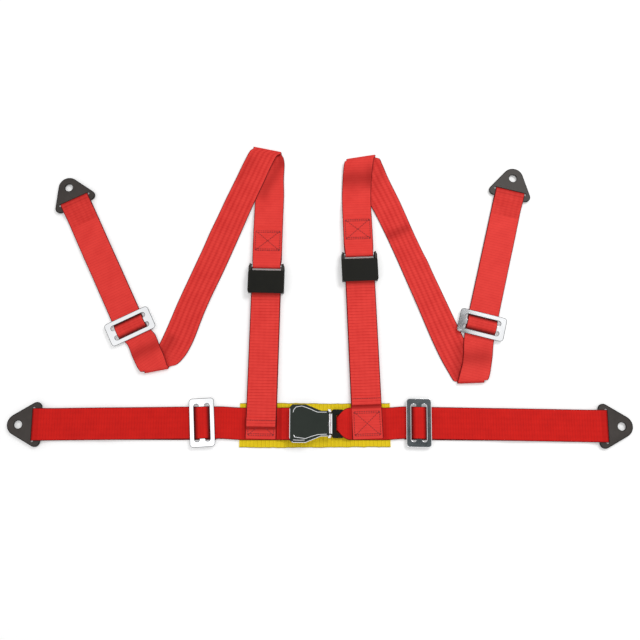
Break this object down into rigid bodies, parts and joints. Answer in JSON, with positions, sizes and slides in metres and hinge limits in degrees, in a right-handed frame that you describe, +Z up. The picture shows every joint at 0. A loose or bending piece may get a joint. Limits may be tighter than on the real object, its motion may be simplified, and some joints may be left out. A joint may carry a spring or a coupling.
{
  "type": "racing harness",
  "caption": "Four-point racing harness laid flat: red webbing, lift-lever buckle, covered shoulder adjusters, chrome three-bar slides and bolt-in anchor plates.",
  "frame": {"origin": "on the surface the harness lies on, at the centre of the whole layout's outline", "axes": "+X along the lap belt towards the tongue side, +Y from the lap belt towards the shoulder straps, +Z up from the surface"},
  "size_m": [0.9715, 0.4987, 0.0176],
  "materials": {
    "webbing_red": "woven, satin",
    "pad_yellow": "ribbed weave",
    "plate_black": "semi-gloss black coat",
    "lever_black": "smooth, glossy",
    "moulded_black": "fine matte grain",
    "frame_black": "black coat",
    "buckle_steel": "bright plated",
    "slide_chrome": "polished plate"
  },
  "bodies": {
    "harness_left": {"backing_pad": "pad_yellow", "lap_left_webbing": "webbing_red", "buckle_base": "buckle_steel", "buckle_webbing_bar": "buckle_steel", "buckle_pivot_pin": "buckle_steel", "lever_spring": "buckle_steel", "shoulder_left_lower_strap": "webbing_red"},
    "lever": {"buckle_lever": "lever_black"},
    "harness_right": {"latch_tongue": "buckle_steel", "tongue_cover": "moulded_black", "lap_right_webbing": "webbing_red", "shoulder_right_lower_strap": "webbing_red"},
    "left_adjuster": {"left_adjuster_frame": "frame_black", "left_adjuster_cover": "moulded_black", "left_adjuster_loop_bar": "buckle_steel", "shoulder_left_upper_strap": "webbing_red"},
    "left_lock_bar": {"left_adjuster_lock_bar": "buckle_steel"},
    "left_pull_tail": {"shoulder_left_pull_tail": "webbing_red"},
    "right_adjuster": {"right_adjuster_frame": "frame_black", "right_adjuster_cover": "moulded_black", "right_adjuster_loop_bar": "buckle_steel", "shoulder_right_upper_strap": "webbing_red"},
    "right_lock_bar": {"right_adjuster_lock_bar": "buckle_steel"},
    "right_pull_tail": {"shoulder_right_pull_tail": "webbing_red"},
    "lap_left_slide_body": {"lap_left_slide": "slide_chrome", "lap_left_slide_webbing": "webbing_red"},
    "lap_left_loop_body": {"lap_left_loop": "webbing_red"},
    "lap_left_anchor_body": {"lap_left_eye": "webbing_red", "lap_left_anchor": "plate_black"},
    "lap_right_slide_body": {"lap_right_slide": "slide_chrome", "lap_right_slide_webbing": "webbing_red"},
    "lap_right_loop_body": {"lap_right_loop": "webbing_red"},
    "lap_right_anchor_body": {"lap_right_eye": "webbing_red", "lap_right_anchor": "plate_black"},
    "shoulder_left_slide_body": {"shoulder_left_slide": "slide_chrome", "shoulder_left_slide_webbing": "webbing_red"},
    "shoulder_left_loop_body": {"shoulder_left_loop": "webbing_red"},
    "shoulder_left_anchor_body": {"shoulder_left_eye": "webbing_red", "shoulder_left_anchor": "plate_black"},
    "shoulder_right_slide_body": {"shoulder_right_slide": "slide_chrome", "shoulder_right_slide_webbing": "webbing_red"},
    "shoulder_right_loop_body": {"shoulder_right_loop": "webbing_red"},
    "shoulder_right_anchor_body": {"shoulder_right_eye": "webbing_red", "shoulder_right_anchor": "plate_black"}
  },
  "joints": [
    {"name": "lever_hinge", "type": "hinge", "parent": "harness_left", "child": "lever", "pos_m": [0.0144, -0.2115, 0.011], "axis": [0, 1, 0], "range_deg": [0, 80], "stiffness_Nm_per_rad": 0.02, "springref_deg": -34.38},
    {"name": "tongue_release", "type": "slide", "parent": "harness_left", "child": "harness_right", "axis": [1, 0, 0], "range_m": [0, 0.06]},
    {"name": "lap_left_adjust", "type": "slide", "parent": "harness_left", "child": "lap_left_slide_body", "axis": [-0.9999, -0.0105, 0], "range_m": [-0.015, 0.05]},
    {"name": "lap_left_length", "type": "slide", "parent": "harness_left", "child": "lap_left_loop_body", "axis": [-0.9999, -0.0105, 0], "range_m": [-0.0075, 0.025]},
    {"name": "lap_left_swing", "type": "hinge", "parent": "lap_left_loop_body", "child": "lap_left_anchor_body", "pos_m": [-0.41449, -0.21212, 0.00175], "axis": [-0.0105, 0.9999, 0], "range_deg": [0, 80]},
    {"name": "lap_right_adjust", "type": "slide", "parent": "harness_right", "child": "lap_right_slide_body", "axis": [0.9998, -0.0175, 0], "range_m": [-0.015, 0.05]},
    {"name": "lap_right_length", "type": "slide", "parent": "harness_right", "child": "lap_right_loop_body", "axis": [0.9998, -0.0175, 0], "range_m": [-0.0075, 0.025]},
    {"name": "lap_right_swing", "type": "hinge", "parent": "lap_right_loop_body", "child": "lap_right_anchor_body", "pos_m": [0.41396, -0.21465, 0.00175], "axis": [-0.0175, -0.9998, 0], "range_deg": [0, 80]},
    {"name": "shoulder_left_adjust", "type": "slide", "parent": "left_adjuster", "child": "shoulder_left_slide_body", "axis": [-0.4384, 0.8988, 0], "range_m": [-0.015, 0.05]},
    {"name": "shoulder_left_length", "type": "slide", "parent": "left_adjuster", "child": "shoulder_left_loop_body", "axis": [-0.4384, 0.8988, 0], "range_m": [-0.0075, 0.025]},
    {"name": "shoulder_left_swing", "type": "hinge", "parent": "shoulder_left_loop_body", "child": "shoulder_left_anchor_body", "pos_m": [-0.39342, 0.1277, 0.00175], "axis": [0.8988, 0.4384, 0], "range_deg": [0, 80]},
    {"name": "shoulder_right_adjust", "type": "slide", "parent": "right_adjuster", "child": "shoulder_right_slide_body", "axis": [0.247, 0.969, 0], "range_m": [-0.015, 0.05]},
    {"name": "shoulder_right_length", "type": "slide", "parent": "right_adjuster", "child": "shoulder_right_loop_body", "axis": [0.247, 0.969, 0], "range_m": [-0.0075, 0.025]},
    {"name": "shoulder_right_swing", "type": "hinge", "parent": "shoulder_right_loop_body", "child": "shoulder_right_anchor_body", "pos_m": [0.30809, 0.14024, 0.00175], "axis": [0.969, -0.247, 0], "range_deg": [0, 80]},
    {"name": "left_shoulder_tighten", "type": "slide", "parent": "harness_left", "child": "left_adjuster", "axis": [-0.0209, -0.9998, 0], "range_m": [-0.02, 0.02]},
    {"name": "left_tail_pull", "type": "slide", "parent": "left_adjuster", "child": "left_pull_tail", "axis": [-0.0209, -0.9998, 0], "range_m": [-0.02, 0.02]},
    {"name": "left_lock_bar_slide", "type": "slide", "parent": "left_adjuster", "child": "left_lock_bar", "axis": [0.0209, 0.9998, 0], "range_m": [0, 0.003]},
    {"name": "right_shoulder_tighten", "type": "slide", "parent": "harness_right", "child": "right_adjuster", "axis": [0.0366, -0.9993, 0], "range_m": [-0.02, 0.02]},
    {"name": "right_tail_pull", "type": "slide", "parent": "right_adjuster", "child": "right_pull_tail", "axis": [0.0366, -0.9993, 0], "range_m": [-0.02, 0.02]},
    {"name": "right_lock_bar_slide", "type": "slide", "parent": "right_adjuster", "child": "right_lock_bar", "axis": [-0.0366, 0.9993, 0], "range_m": [0, 0.003]}
  ],
  "couplings": [
    {"joint": "lap_left_length", "follows": "lap_left_adjust", "ratio": 0.5},
    {"joint": "lap_right_length", "follows": "lap_right_adjust", "ratio": 0.5},
    {"joint": "shoulder_left_length", "follows": "shoulder_left_adjust", "ratio": 0.5},
    {"joint": "shoulder_right_length", "follows": "shoulder_right_adjust", "ratio": 0.5},
    {"joint": "left_tail_pull", "follows": "left_shoulder_tighten", "ratio": 1},
    {"joint": "right_tail_pull", "follows": "right_shoulder_tighten", "ratio": 1}
  ]
}
